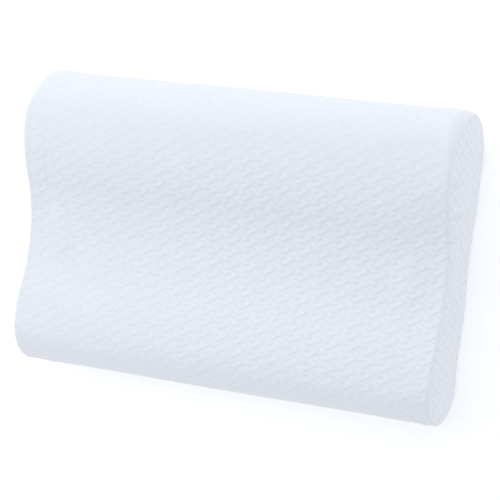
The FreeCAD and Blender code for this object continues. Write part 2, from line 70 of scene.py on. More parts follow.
class Contour:
    """The section's outline by distance, from the front seam over the top, and back underneath."""

    def __init__(self):
        front_y = -HALF_DEPTH + FRONT_UPPER
        rear_y = HALF_DEPTH - REAR_UPPER
        front_ramp = ramp_radius(VALLEY_Y - front_y, LOW - VALLEY)
        rear_ramp = ramp_radius(rear_y - VALLEY_Y, HIGH - VALLEY)
        front_bend = math.degrees(math.asin((VALLEY_Y - front_y) / (2 * front_ramp)))
        rear_bend = math.degrees(math.asin((rear_y - VALLEY_Y) / (2 * rear_ramp)))
        low_y = -HALF_DEPTH + FRONT_LOWER
        high_y = HALF_DEPTH - REAR_LOWER
        # centre y, centre z, radius, first and last angle, +1 where the outline bulges out;
        # the flat underside, with 0, has its first y, 0 and its last y instead
        self.arcs = [
            (low_y, FRONT_LOWER, FRONT_LOWER, 180 + FRONT_SEAM_ANGLE, 180, 1),
            (front_y, FRONT_LOWER, FRONT_UPPER, 180, 90, 1),
            (front_y, LOW - front_ramp, front_ramp, 90, 90 - front_bend, 1),
            (VALLEY_Y, VALLEY + front_ramp, front_ramp, 270 - front_bend, 270, -1),
            (VALLEY_Y, VALLEY + rear_ramp, rear_ramp, 270, 270 + rear_bend, -1),
            (rear_y, HIGH - rear_ramp, rear_ramp, 90 + rear_bend, 90, 1),
            (rear_y, REAR_LOWER, REAR_UPPER, 90, 0, 1),
            (high_y, REAR_LOWER, REAR_LOWER, 0, -90, 1),
            (high_y, 0, low_y, None, None, 0),
            (low_y, FRONT_LOWER, FRONT_LOWER, 270, 180 + FRONT_SEAM_ANGLE, 1),
        ]
        lengths = [abs(math.radians(last - first)) * radius if side else y - radius
                   for y, _, radius, first, last, side in self.arcs]
        self.starts = np.concatenate([[0.0], np.cumsum(lengths)])
        self.length = float(self.starts[-1])
        self.zip_place = float(self.starts[7] + math.radians(ZIP_ANGLE) * REAR_LOWER)
        self.front_crest = float(self.starts[2])
        self.valley = float(self.starts[4])
        self.rear_crest = float(self.starts[6])
        self.rear_nose = float(self.starts[7])
        self.front_nose = float(self.starts[1])

    def at(self, distance):
        """Points and outward normals, as (..., 2) arrays of y and z, at distances along it."""
        distance = np.mod(np.asarray(distance, float), self.length)
        point = np.zeros(distance.shape + (2,))
        normal = np.zeros_like(point)
        which = np.clip(np.searchsorted(self.starts, distance, side="right") - 1, 0, 9)
        for index, (y, z, radius, first, last, side) in enumerate(self.arcs):
            here = which == index
            along = distance[here] - self.starts[index]
            if side == 0:
                point[here] = np.stack([y - along, np.zeros_like(along)], -1)
                normal[here] = (0, -1)
                continue
            turn = np.radians(first) + np.sign(last - first) * along / radius
            way = np.stack([np.cos(turn), np.sin(turn)], -1)
            point[here] = np.array([y, z]) + way * radius
            normal[here] = way * side
        return point, normal

    def below(self, distance, depth):
        """Points, y and z, at depths below the cover; a row of depths for each distance is fine."""
        point, normal = self.at(distance)
        if np.ndim(depth) > np.ndim(distance):
            point, normal = point[:, None], normal[:, None]
        return point - normal * np.asarray(depth)[..., None]


contour = Contour()


# ---------------- mesh helpers
def link(obj):
    bpy.context.scene.collection.objects.link(obj)
    return obj


def mesh_object(name, points, faces, cloth=None, relief=None):
    """A smooth-shaded mesh from points in millimetres, with its cloth attributes."""
    mesh = bpy.data.meshes.new(name)
    points = np.asarray(points, float).reshape(-1, 3) * MM
    counts = np.array([len(face) for face in faces], np.int32)
    corners = np.concatenate([np.asarray(face, np.int32) for face in faces])
    mesh.vertices.add(len(points))
    mesh.vertices.foreach_set("co", points.astype(np.float32).ravel())
    mesh.loops.add(len(corners))
    mesh.loops.foreach_set("vertex_index", corners)
    mesh.polygons.add(len(counts))
    starts = np.concatenate([[0], np.cumsum(counts)[:-1]]).astype(np.int32)
    mesh.polygons.foreach_set("loop_start", starts)
    mesh.polygons.foreach_set("loop_total", counts)
    mesh.update(calc_edges=True)
    mesh.validate()
    mesh.polygons.foreach_set("use_smooth", np.ones(len(mesh.polygons), bool))
    if cloth is not None:
        layer = mesh.attributes.new("cloth", "FLOAT_VECTOR", "POINT")
        layer.data.foreach_set("vector", np.asarray(cloth, np.float32).ravel())
    if relief is not None:
        layer = mesh.attributes.new("relief", "FLOAT", "POINT")
        layer.data.foreach_set("value", np.asarray(relief, np.float32).ravel())
    return link(bpy.data.objects.new(name, mesh))


def placed(x, flat):
    """Points from their x and their (y, z)."""
    points = np.zeros(flat.shape[:-1] + (3,))
    points[..., 0] = x
    points[..., 1:] = flat
    return points


def cloth_at(across, along):
    """Cloth coordinates, in metres as the materials read them, from millimetres."""
    across, along = np.broadcast_arrays(across, along)
    return np.stack([across * MM, along * MM, np.zeros(across.shape)], -1)


def grid_faces(rows, columns, first=0, flip=False):
    """Quads of a rows by columns grid of points."""
    index = np.arange(rows * columns).reshape(rows, columns) + first
    quads = np.stack([index[:-1, :-1], index[:-1, 1:], index[1:, 1:], index[1:, :-1]], -1)
    quads = quads.reshape(-1, 4)
    return quads[:, ::-1] if flip else quads


def shell(name, outer, inner, cloth, relief, step, flip=False):
    """A closed sheet: an outer grid, and an inner grid of every step-th of its points."""
    rows, columns = outer.shape[:2]
    first = rows * columns
    faces = list(grid_faces(rows, columns, flip=flip))
    faces += list(grid_faces(*inner.shape[:2], first, flip=not flip))
    fine = np.arange(first).reshape(rows, columns)
    coarse = np.arange(inner[..., 0].size).reshape(inner.shape[:2]) + first
    borders = [
        (fine[0], coarse[0], True), (fine[-1], coarse[-1], False),
        (fine[:, 0], coarse[:, 0], False), (fine[:, -1], coarse[:, -1], True)]
    for fine_line, coarse_line, turned in borders:
        for number in range(len(coarse_line) - 1):
            stretch = list(fine_line[number * step:(number + 1) * step + 1])
            face = stretch + [coarse_line[number + 1], coarse_line[number]]
            faces.append(face[::-1] if turned != flip else face)
    points = np.concatenate([outer.reshape(-1, 3), inner.reshape(-1, 3)])
    cloth = np.concatenate([cloth.reshape(-1, 3), cloth[::step, ::step].reshape(-1, 3)])
    relief = np.concatenate([relief.ravel(), np.zeros(coarse.size)])
    return mesh_object(name, points, faces, cloth, relief)


def thin_sheet(name, x, along, top, under, flip=True):
    """A closed plain sheet on a grid of x by distances along the cloth, from its sides' (y, z)."""
    cloth = cloth_at(x[None], along[:, None])
    return shell(name, placed(x, top), placed(x, under), cloth, np.zeros(cloth.shape[:2]), step=1,
                 flip=flip)


def closed_tube(tube, fills):
    """A grid of points that goes round by rows, with both ends filled.

    fills is each end's flat mesh, whose first points are the tube's own. Returns the points, the
    tube's quads, facing in, the ends' faces, facing out, and each end's point numbers.
    """
    rows, columns = tube.shape[:2]
    number = np.arange(rows * columns).reshape(rows, columns)
    after = np.roll(number, -1, axis=0)
    quads = np.stack([number[:, :-1], after[:, :-1], after[:, 1:], number[:, 1:]], -1)
    points, end_faces, ends = [tube.reshape(-1, 3)], [], []
    total = number.size
    for (flat, faces), side, column in zip(fills, (-1, 1), (0, columns - 1)):
        names = np.concatenate([number[:, column], np.arange(len(flat) - rows) + total])
        points.append(placed(tube[0, column, 0], flat[rows:]))
        end_faces += [names[face][::side] for face in faces]
        ends.append(names)
        total += len(flat) - rows
    return np.concatenate(points), quads.reshape(-1, 4), end_faces, ends


def end_sheet(name, side, outer, inner, rim, step=1, relief=None):
    """A closed sheet across an end, from two flat meshes, each given as x, (y, z) and faces.

    The outer mesh's first points, rim of them, go round it; the inner one has every step-th.
    """
    (outer_x, outer_flat, outer_faces), (inner_x, inner_flat, inner_faces) = outer, inner
    first, count = len(outer_flat), rim // step
    faces = list(outer_faces) + [face[::-1] + first for face in inner_faces]
    for number in range(count):
        stretch = [(number * step + k) % rim for k in range(step + 1)]
        faces.append(stretch + [first + (number + 1) % count, first + number])
    flat = np.concatenate([outer_flat, inner_flat])
    points = placed(np.concatenate([outer_x, inner_x]) * side, flat)
    if relief is not None:
        relief = np.concatenate([relief, np.zeros(len(inner_flat))])
    return mesh_object(name, points, [face[::side] for face in faces],
                       cloth_at(flat[:, 1], flat[:, 0]), relief)


def smooth(value):
    value = np.clip(value, 0, 1)
    return value * value * (3 - 2 * value)


def bump(value, middle, half):
    """A smooth hill of height 1 at middle that reaches 0 half away from it."""
    return smooth(1 - np.abs(value - middle) / half)


def turned_edge(gap, reach):
    """A quarter round's drop: 1 at an edge, 0 from a reach away from it."""
    return 1.0 - np.sqrt(np.clip(1 - np.clip(1 - gap / reach, 0, 1) ** 2, 0, 1))


def in_chunks(points):
    """Parts of a long list of points, small enough to measure against all points of another."""
    return np.array_split(points, max(1, len(points) // 4000))


def apart(points, others):
    """The distances from each point to each of the others."""
    away = points[:, None] - others[None]
    return np.hypot(away[..., 0], away[..., 1])


# ---------------- quilting pattern
PITCH_ALONG = np.array([21.36, -0.45])
PITCH_ACROSS = np.array([-0.30, 13.30])
PATTERN_ORIGIN = (7.0, 198.0)
BAR_HALF_LENGTH = 7.6
BAR_HALF_WIDTH = 2.6
BAR_END = 1.0
BAR_ROUNDNESS = 0.42         # 0.5 is a half ellipse, less is flatter on top
BAR_HEIGHT = 0.84
END_BAR_HEIGHT = 0.82


def bars(along, across, origin=PATTERN_ORIGIN):
    """Height, 0 to 1, of the puffy bars of the two leans at cloth coordinates in millimetres."""
    half_up = (PITCH_ALONG + PITCH_ACROSS) / 2
    half_down = (PITCH_ALONG - PITCH_ACROSS) / 2
    back = np.linalg.inv(np.array([half_up, half_down]).T)
    up, down = half_up / np.hypot(*half_up), half_down / np.hypot(*half_down)
    skew = np.linalg.inv(np.array([up, down]).T)
    u = along - origin[0]
    v = across - origin[1]
    near_m = np.round(back[0, 0] * u + back[0, 1] * v)
    near_n = np.round(back[1, 0] * u + back[1, 1] * v)
    height = np.zeros_like(u)
    for step_m in (-1, 0, 1):
        for step_n in (-1, 0, 1):
            m, n = near_m + step_m, near_n + step_n
            rising = np.mod(m + n, 2) == 0
            du = u - m * half_up[0] - n * half_down[0]
            dv = v - m * half_up[1] - n * half_down[1]
            way_u = np.where(rising, up[0], down[0])
            way_v = np.where(rising, up[1], down[1])
            lengthwise = np.abs(np.where(rising, skew[0, 0] * du + skew[0, 1] * dv,
                                         skew[1, 0] * du + skew[1, 1] * dv))
            sideways = (du * way_v - dv * way_u) / BAR_HALF_WIDTH
            rise = np.clip(1 - sideways ** 2, 0, 1) ** BAR_ROUNDNESS
            rise *= np.clip((BAR_HALF_LENGTH - lengthwise) / BAR_END, 0, 1) ** 0.5
            height = np.maximum(height, rise)
    return height


# ---------------- cover panels
SPACING = 1.25
END_SPACING = 1.0
LINING_STEP = 4
CROWDING = 0.12              # how much closer the wrap's columns stand towards the ends
WAIST = contour.valley + 62.0
WAIST_HALF = 72.0
PRESSED_LEFT, PRESSED_RIGHT = 1.2, 5.5
PRESSED_FROM, PRESSED_REACH = 180.0, 85.0
EDGE_RADIUS, REAR_RADIUS, FRONT_RADIUS = 3.0, 14.0, 3.5
SEWN_TILT = 62.0             # degrees from the flat wrap, at the end seam
GROUND_DEPTH = 0.6           # the knit between the bars lies this far under the contour
LINING_GAP = 0.4
END_GROUND_DEPTH = 0.3
END_LINING_GAP = 0.8
END_PATTERN_SHIFT = (4.0, 200.0)


def near(distance):
    """How close distances along the contour are to the rear lobe, front lobe and waist, 0 to 1."""
    rear = bump(distance, (contour.rear_crest + contour.rear_nose) / 2, 125)
    front = bump(distance, (contour.front_nose + contour.front_crest) / 2, 80)
    waist = bump(distance, contour.valley + 66, 62)
    return rear, front, waist


def hollow(distance, x):
    """How far the pillow is pressed in at its waist near the ends, the right one most."""
    deep = np.where(np.asarray(x) > 0, PRESSED_RIGHT, PRESSED_LEFT)
    reach = smooth((np.abs(x) - PRESSED_FROM) / PRESSED_REACH)
    return deep * bump(distance, WAIST, WAIST_HALF) * reach


def rounding(distance):
    """The wrap's rounding towards its ends: radius, the tilt where it is sewn, and its drop."""
    rear = bump(distance, contour.rear_crest + 55, 72)
    front = bump(distance, (contour.front_nose + contour.front_crest) / 2, 60)
    radius = EDGE_RADIUS + REAR_RADIUS * rear + FRONT_RADIUS * front
    tilt = np.radians(SEWN_TILT + 4 * rear + 4 * front)
    return radius, tilt, radius * (1 - np.cos(tilt))


def end_start(distance):
    """How far beyond the nominal end the seam stands out, or in, at distances along it."""
    rear, _, waist = near(distance)
    under = contour.starts[8] + HALF_DEPTH - REAR_LOWER
    pulled = 2.4 * bump(distance, under - 10, 62) + 1.4 * bump(distance, under + 95, 45)
    return 1.6 * rear - 1.0 * waist - pulled


def roll(share, distance):
    """The wrap at shares of its half width: cloth coordinate, x, drop, tilt, and seam distance."""
    radius, sewn_tilt, _ = rounding(distance)
    rear, _, waist = near(distance)
    flare = 0.9 + 0.4 * rear + 0.9 * waist + end_start(distance)
    arc_start = HALF_WIDTH + flare - radius * np.sin(sewn_tilt)
    sheet_half = arc_start + radius * sewn_tilt
    across = share * sheet_half
    tilt = np.clip((np.abs(across) - arc_start) / radius, 0, None)
    x = np.where(tilt > 0, np.sign(across) * (arc_start + radius * np.sin(tilt)), across)
    return across, x, radius * (1 - np.cos(tilt)), tilt, sheet_half - np.abs(across)


def count_steps(length, spacing):
    """A number of steps that the lining's step divides."""
    return LINING_STEP * max(1, round(length / spacing / LINING_STEP))


def round_distances(spacing):
    """Distances all round the contour, evenly spaced."""
    count = count_steps(contour.length, spacing)
    return np.arange(count) * contour.length / count


def seam_ring(spacing, side=0):
    """An end seam's outline, y and z, a little inside the contour, and its distances."""
    distance = round_distances(spacing)
    depth = rounding(distance)[2] + 0.1 + hollow(distance, side * HALF_WIDTH)
    return contour.below(distance, depth), contour.at(distance)[1], distance


def gap_to(ring, flat):
    """Distance from points to the outline's nearest point, and that point's number."""
    gap, number = [], []
    for chunk in in_chunks(flat):
        away = apart(chunk, ring)
        number.append(np.argmin(away, axis=1))
        gap.append(np.min(away, axis=1))
    return np.concatenate(gap), np.concatenate(number)


def inside(ring, flat):
    """Whether points lie inside the outline."""
    y, z = flat[:, 0][:, None], flat[:, 1][:, None]
    after = np.roll(ring, -1, axis=0)
    crosses = (ring[None, :, 1] > z) != (after[None, :, 1] > z)
    rise = after[:, 1] - ring[:, 1]
    rise = np.where(np.abs(rise) < 1e-9, 1e-9, rise)
    place = ring[:, 0] + (z - ring[:, 1]) * (after[:, 0] - ring[:, 0]) / rise
    return np.sum(crosses & (y < place), axis=1) % 2 == 1


def filled(ring, normal, spacing, offsets=()):
    """A triangle mesh of the outline's inside: its points, the outline's first, and faces."""
    parts = [ring] + [ring - normal * offset for offset in offsets]
    clear = (offsets[-1] if len(offsets) else 0) + spacing * 0.75
    low, high = ring.min(axis=0), ring.max(axis=0)
    rise = spacing * math.sqrt(3) / 2
    grid = []
    for number, z in enumerate(np.arange(low[1], high[1], rise)):
        y = np.arange(low[0] + (number % 2) * spacing / 2, high[0], spacing)
        grid.append(np.stack([y, np.full_like(y, z)], -1))
    grid = np.concatenate(grid)
    grid = np.concatenate([part[inside(ring, part)] for part in np.array_split(grid, 20)])
    grid = grid[gap_to(ring, grid)[0] > clear]
    flat = np.concatenate(parts + [grid])
    count = len(ring)
    edges = [(k, (k + 1) % count) for k in range(count)]
    result = delaunay_2d_cdt([Vector(p) for p in flat], edges, [], 1, 1e-6)
    flat = np.array([tuple(p) for p in result[0]])
    faces = np.array([tuple(face) for face in result[2]])
    a, b, c = (flat[faces[:, k]] for k in range(3))
    turn = (b[:, 0] - a[:, 0]) * (c[:, 1] - a[:, 1]) - (b[:, 1] - a[:, 1]) * (c[:, 0] - a[:, 0])
    faces[turn < 0] = faces[turn < 0][:, ::-1]
    return flat, faces


# ---------------- cloth simulation of the cover
SIM_SPACING = 7.0
SIM_INSET = 1.6
SIM_FRAMES = 20
WRAP_HELD = 0.15
END_HELD = 0.03
WRAP_CAP = 3.0
END_CAP = 2.6
INWARD_CAP = 0.4
END_BLUR = 7.5


def inflate(points, faces, held):
    """Swell a closed cloth mesh, points in millimetres, and return where its points end up.

    held is (point numbers, how firmly the foam holds them, from 0 to 1) pairs.
    """
    obj = mesh_object("cover_cloth", points, faces)
    group = obj.vertex_groups.new(name="held")
    for numbers, weight in held:
        group.add([int(number) for number in numbers], weight, "REPLACE")
    cloth = obj.modifiers.new("cloth", "CLOTH").settings
    cloth.quality = 6
    cloth.mass = 0.25
    cloth.tension_stiffness = cloth.compression_stiffness = 18
    cloth.shear_stiffness = 8
    cloth.bending_stiffness = 20
    cloth.use_pressure = True
    cloth.uniform_pressure_force = 4
    cloth.shrink_min = -0.003
    cloth.vertex_group_mass = "held"
    cloth.pin_stiffness = 1
    cloth.effector_weights.gravity = 0
    scene = bpy.context.scene
    scene.frame_start, scene.frame_end = 1, SIM_FRAMES
    for number in range(1, SIM_FRAMES + 1):
        scene.frame_set(number)
    result = obj.evaluated_get(bpy.context.evaluated_depsgraph_get()).data
    swollen = np.zeros(len(points) * 3, np.float32)
    result.vertices.foreach_get("co", swollen)
    swollen = swollen.reshape(-1, 3) / MM
    mesh = obj.data
    bpy.data.objects.remove(obj)
    bpy.data.meshes.remove(mesh)
    scene.frame_set(1)
    return swollen


def simulate_cover():
    """The shifts, in millimetres, that cloth tension and swelling give the wrap and the ends."""
    outline, outline_normal, distance = seam_ring(SIM_SPACING)
    fill = filled(outline, outline_normal, SIM_SPACING)
    share = np.linspace(-1, 1, count_steps(2 * HALF_WIDTH, SIM_SPACING) + 1)
    _, x, drop, tilt, _ = roll(share[None], distance[:, None])
    wrap = placed(x * (1 - SIM_INSET / HALF_WIDTH),
                  contour.below(distance, drop + SIM_INSET * np.cos(tilt)))
    points, quads, end_faces, ends = closed_tube(wrap, (fill, fill))
    number = np.arange(wrap[..., 0].size).reshape(wrap.shape[:2])
    held = [(number[:, 1:-1].ravel(), WRAP_HELD), (np.arange(number.size, len(points)), END_HELD),
            (np.concatenate([number[:, 0], number[:, -1]]), 1.0)]
    shift = inflate(points, list(quads) + end_faces, held) - points
    return shift[:number.size].reshape(wrap.shape), fill[0], [shift[names] for names in ends]


def capped(shift, most):
    """Shifts with their lengths eased towards a limit."""
    length = np.linalg.norm(shift, axis=-1, keepdims=True)
    eased = most * np.tanh(length / most) / np.maximum(length, 1e-9)
    return shift * np.where(length > 1e-9, eased, 1)


def spline_weights(share):
    """The four weights of a cubic B-spline at a share of a step."""
    a, b = 1 - share, share
    inner = [(3 * c ** 3 - 6 * c ** 2 + 4) / 6 for c in (b, a)]
    return [a ** 3 / 6, *inner, b ** 3 / 6]


def sample_wrap(values, row, column):
    """Smooth values at fractional rows, which go round, and columns, which end."""
    base_row, base_column = np.floor(row).astype(int), np.floor(column).astype(int)
    row_weights = spline_weights(row - base_row)
    column_weights = spline_weights(column - base_column)
    found = np.zeros(row.shape + values.shape[2:])
    for down in range(4):
        for over in range(4):
            r = np.mod(base_row + down - 1, values.shape[0])
            c = np.clip(base_column + over - 1, 0, values.shape[1] - 1)
            found += values[r, c] * (row_weights[down] * column_weights[over])[..., None]
    return found


def soft_wrap(distance, share, outward):
    """How far the simulated cloth stands out from the wrap; nothing where it lies on its back."""
    rows, columns = wrap_shift.shape[:2]
    row = distance / contour.length * rows
    shift = sample_wrap(wrap_shift, row, (share + 1) / 2 * (columns - 1))
    out = np.sum(shift * outward, axis=-1)
    out = np.where(out < 0, INWARD_CAP * np.tanh(out / INWARD_CAP), out)
    return out * (1 - smooth(-outward[..., 2] * 2 - 1))


def soft_end(flat, side):
    """The simulated shift out of an end panel at points on it."""
    values = capped(end_shifts[0 if side < 0 else 1][:, :1], END_CAP)[:, 0]
    found = []
    for chunk in in_chunks(flat):
        weight = np.exp(-(apart(chunk, sim_flat) / END_BLUR) ** 2)
        found.append(weight @ values / weight.sum(axis=1))
    return np.concatenate(found) * side


wrap_shift, sim_flat, end_shifts = simulate_cover()
wrap_shift = capped(wrap_shift, WRAP_CAP)


# ---------------- cover pieces
def wrap_panel(name, start, end_of):
    """A panel of the wrap from one distance along the contour to another that varies with x."""
    columns = count_steps(2 * HALF_WIDTH, SPACING) + 1
    share_across = np.linspace(-1, 1, columns)
    share_across = share_across * (1 + CROWDING) - CROWDING * share_across ** 5
    x_line = share_across * HALF_WIDTH
    start_line = start(x_line)
    end_line = end_of(x_line)
    rows = count_steps(np.max(end_line - start_line), SPACING) + 1
    share = np.linspace(0, 1, rows)[:, None]
    distance = start_line * (1 - share) + end_line * share
    across, x, drop, tilt, seam_gap = roll(share_across, distance)
    edge = np.minimum(distance - start_line, end_line - distance)
    rear, front, _ = near(distance)
    relief = bars(across, distance) * (1 - 0.7 * rear - 0.25 * front)
    relief = relief * (1.06 - 0.36 * smooth((40 - across) / 240))
    relief = relief * smooth(edge / 4) * smooth((seam_gap - 0.8 - 3 * rear) / (2.5 + 9 * rear))
    outward = placed(np.sign(across) * np.sin(tilt),
                     contour.at(distance)[1] * np.cos(tilt)[..., None])
    base = placed(x, contour.below(distance, drop + hollow(distance, x)))
    swell = soft_wrap(distance, np.broadcast_to(share_across, distance.shape), outward)
    offset = (relief * BAR_HEIGHT - GROUND_DEPTH + swell - turned_edge(edge, 1.2)
              - turned_edge(seam_gap, 1.8) * 0.7)
    outer = base + outward * offset[..., None]
    inner = base + outward * (swell - COVER - LINING_GAP)[..., None]
    return shell(name, outer, inner[::LINING_STEP, ::LINING_STEP], cloth_at(across, distance),
                 relief, LINING_STEP, flip=True)


# dents beside the top seam of each end: y, reach into the panel, depth, slant
DENTS = {
    1: ((82, 27, 2.2, 0.18), (50, 32, 2.9, 0.26), (28, 18, 2.2, 0.45), (8, 9, 1.5, 0.1),
        (-40, 8, 0.8, -0.3), (-84, 9, 0.8, -0.3)),
    -1: ((76, 22, 1.9, 0.2), (44, 26, 2.3, 0.25), (14, 14, 1.5, 0.3), (-40, 10, 0.8, -0.3)),
}


def end_depth(ring, ring_distance, flat, side):
    """The end panel's shape: how far out it stands at y and z, without the bars, and the gap."""
    gap, number = gap_to(ring, flat)
    distance = ring_distance[number]
    waist = near(distance)[2]
    edge_drop = turned_edge(gap, 1.5 + 1.0 * waist)
    bulge = 3.2 * smooth(gap / 42) + 0.8 * smooth(gap / 8)
    bulge = bulge + soft_end(flat, side) * smooth(gap / 8)
    for dent_y, reach, depth, slant in DENTS[side]:
        along = flat[:, 0] - dent_y - slant * gap
        top = flat[:, 1] > HIGH / 2 - 8
        dent = np.exp(-(along / 2.7) ** 2) * smooth(gap / 2.5) * smooth(1.4 - gap / reach)
        swell = np.exp(-((along - 7) / 5) ** 2) * smooth(gap / 3) * smooth(1.3 - gap / reach)
        bulge = bulge + np.where(top, 0.5 * depth * swell - 1.15 * depth * dent, 0)
    start = end_start(distance)
    start = start * (1 - smooth(gap / np.where(start < 0, 12, 30)))
    return HALF_WIDTH - END_GROUND_DEPTH + start + bulge - edge_drop * (0.5 + 3.0 * waist), gap


def end_panel(name, side):
    """An end panel, bulged a little, with the quilting and dents along its seam."""
    ring, ring_normal, ring_distance = seam_ring(SPACING, side)
    flat, faces = filled(ring, ring_normal, END_SPACING, (0.8, 1.7, 2.7))
    lining, lining_faces = filled(ring[::LINING_STEP], ring_normal[::LINING_STEP],
                                  SPACING * LINING_STEP)
    depth, gap = end_depth(ring, ring_distance, flat, side)
    along, across = END_PATTERN_SHIFT
    relief = bars(flat[:, 1] * side + along, flat[:, 0] + across) * smooth((gap - 0.8) / 3)
    back = end_depth(ring, ring_distance, lining, side)[0]
    back = np.minimum(back, HALF_WIDTH + 1.5) - COVER - END_LINING_GAP
    return end_sheet(name, side, (depth + relief * END_BAR_HEIGHT, flat, faces),
                     (back, lining, lining_faces), len(ring), LINING_STEP, relief)


def zip_edge(side):
    """Where a panel ends at the zip: at the slot's edge, or at the zip line beyond the slot."""
    def edge(x):
        open_share = smooth((SLOT_HALF_LENGTH - np.abs(x)) / 4 + 0.5)
        return contour.zip_place - side * (0.2 + (SLOT_HALF_WIDTH - 0.2) * open_share)
    return edge


cover_top = wrap_panel("cover_top", lambda x: np.full(x.shape, 0.1), zip_edge(1))
cover_bottom = wrap_panel("cover_bottom", zip_edge(-1),
                          lambda x: np.full(x.shape, contour.length - 0.1))
cover_left = end_panel("cover_left", -1)
cover_right = end_panel("cover_right", 1)


# ---------------- materials
class Nodes:
    """Short calls for building one material's node tree."""

    def __init__(self, name, color, roughness, **inputs):
        self.material = bpy.data.materials.new(name)
        self.material.use_nodes = True
        self.tree = self.material.node_tree
        self.shader = self.tree.nodes["Principled BSDF"]
        self.shader.inputs["Base Color"].default_value = (*color, 1)
        self.shader.inputs["Roughness"].default_value = roughness
        for key, value in inputs.items():
            self.shader.inputs[key.replace("_", " ")].default_value = value

    def node(self, kind, *links, **settings):
        made = self.tree.nodes.new(kind)
        for key, value in settings.items():
            setattr(made, key, value)
        for number, value in enumerate(links):
            if isinstance(value, bpy.types.NodeSocket):
                self.tree.links.new(value, made.inputs[number])
            elif value is not None:
                made.inputs[number].default_value = value
        return made

    def math(self, operation, *links):
        return self.node("ShaderNodeMath", *links, operation=operation).outputs[0]

    def cloth_mm(self, attribute="cloth"):
        """Cloth coordinates in millimetres, or the object's own ones."""
        if attribute:
            source = self.node("ShaderNodeAttribute", attribute_name=attribute).outputs["Vector"]
        else:
            source = self.node("ShaderNodeTexCoord").outputs["Object"]
        scale = self.node("ShaderNodeVectorMath", source, operation="SCALE")
        scale.inputs["Scale"].default_value = 1 / MM
        return scale.outputs["Vector"]

    def wave(self, where, way, pitch):
        """A sine, 0 to 1, along a direction with a pitch in millimetres."""
        scaled = tuple(part / pitch * 2 * math.pi for part in way)
        reach = self.node("ShaderNodeVectorMath", where, scaled, operation="DOT_PRODUCT")
        wave = self.math("SINE", reach.outputs["Value"])
        return self.math("MULTIPLY_ADD", wave, 0.5, 0.5)

    def noise(self, where, size, detail=2.0):
        noise = self.node("ShaderNodeTexNoise", where)
        noise.inputs["Scale"].default_value = 1 / size
        noise.inputs["Detail"].default_value = detail
        return noise.outputs["Fac"]

    def tint(self, amount, low, high):
        """The base colour, between two shades by an amount from 0 to 1."""
        ramp = self.node("ShaderNodeValToRGB", amount)
        ramp.color_ramp.elements[0].color = (*low, 1)
        ramp.color_ramp.elements[1].color = (*high, 1)
        self.tree.links.new(ramp.outputs["Color"], self.shader.inputs["Base Color"])

    def raise_by(self, height, depth_mm, strength):
        bump = self.node("ShaderNodeBump")
        bump.inputs["Strength"].default_value = strength
        bump.inputs["Distance"].default_value = depth_mm * MM
        self.tree.links.new(height, bump.inputs["Height"])
        self.tree.links.new(bump.outputs["Normal"], self.shader.inputs["Normal"])


def cover_knit_material():
    """Double knit: ribs between the bars, small stitches on them, slight random shade changes, a
    painted highlight on the bars and painted shade along their edges.
    """
    made = Nodes("cover_knit", (0.775, 0.81, 0.865), 0.92, Sheen_Weight=0.2, Sheen_Roughness=0.5)
    where = made.cloth_mm()
    relief = made.node("ShaderNodeAttribute", attribute_name="relief").outputs["Fac"]
    lean = math.radians(31)
    rib = made.wave(where, (-math.sin(lean), math.cos(lean), 0), 1.45)
    bead = made.wave(where, (math.cos(lean), math.sin(lean), 0), 1.7)
    ground = made.math("MULTIPLY", rib, made.math("MULTIPLY_ADD", bead, 0.5, 0.5))
    wale = made.wave(where, (1, 0, 0), 0.95)
    course = made.wave(where, (0, 1, 0), 0.8)
    stitch = made.math("MULTIPLY", made.math("MULTIPLY", wale, course), 0.45)
    on_bar = made.math("MULTIPLY", stitch, relief)
    off_bar = made.math("MULTIPLY", ground, made.math("SUBTRACT", 1.0, relief))
    fuzz = made.math("MULTIPLY", made.noise(where, 0.6, 3.0), 0.35)
    height = made.math("ADD", made.math("ADD", on_bar, off_bar), fuzz)
    made.raise_by(height, 0.22, 0.75)
    patches = made.math("MULTIPLY_ADD", made.noise(where, 38.0, 3.0), 0.25, 0.56)
    yarn = made.math("MULTIPLY_ADD", made.noise(where, 1.6, 2.0), 0.2, -0.1)
    # painted shade: a dark band along each bar's edge, where the knit dips between the bars
    rim = made.math("MULTIPLY", relief, made.math("SUBTRACT", 1.0, relief))
    shade = made.math("MULTIPLY_ADD", off_bar, 0.3, made.math("ADD", patches, yarn))
    # painted highlight: the raised bars are tinted lighter than the knit between them
    shade = made.math("MULTIPLY_ADD", relief, 0.2, shade)
    # darkens the colour by the painted shade at the bars' edges
    shade = made.math("MULTIPLY_ADD", rim, -1.0, shade)
    made.tint(shade, (0.736, 0.774, 0.846), (0.840, 0.871, 0.929))
    return made.material


def finish(name, color, roughness, texture, depth, strength, shades, clouds=None, cloth=None,
           **inputs):
    """A material with a fine raised texture, shaded by clouds (size, detail) or by the texture."""
    made = Nodes(name, color, roughness, **inputs)
    where = made.cloth_mm(cloth)
    height = texture(made, where)
    made.raise_by(height, depth, strength)
    made.tint(made.noise(where, *clouds) if clouds else height, *shades)
    return made.material


def waves(*ways):
    """A texture of sines multiplied together, each a direction and a pitch in millimetres."""
    def texture(made, where):
        heights = [made.wave(where, way, pitch) for way, pitch in ways]
        return heights[0] if len(heights) == 1 else made.math("MULTIPLY", *heights)
    return texture


def grain(*size_and_detail):
    return lambda made, where: made.noise(where, *size_and_detail)


def pores(made, where):
    """The pores of a foam skin."""
    cells = made.node("ShaderNodeTexVoronoi", where)
    cells.inputs["Scale"].default_value = 0.8
    return made.math("ADD", cells.outputs["Distance"], made.noise(where, 4.0))


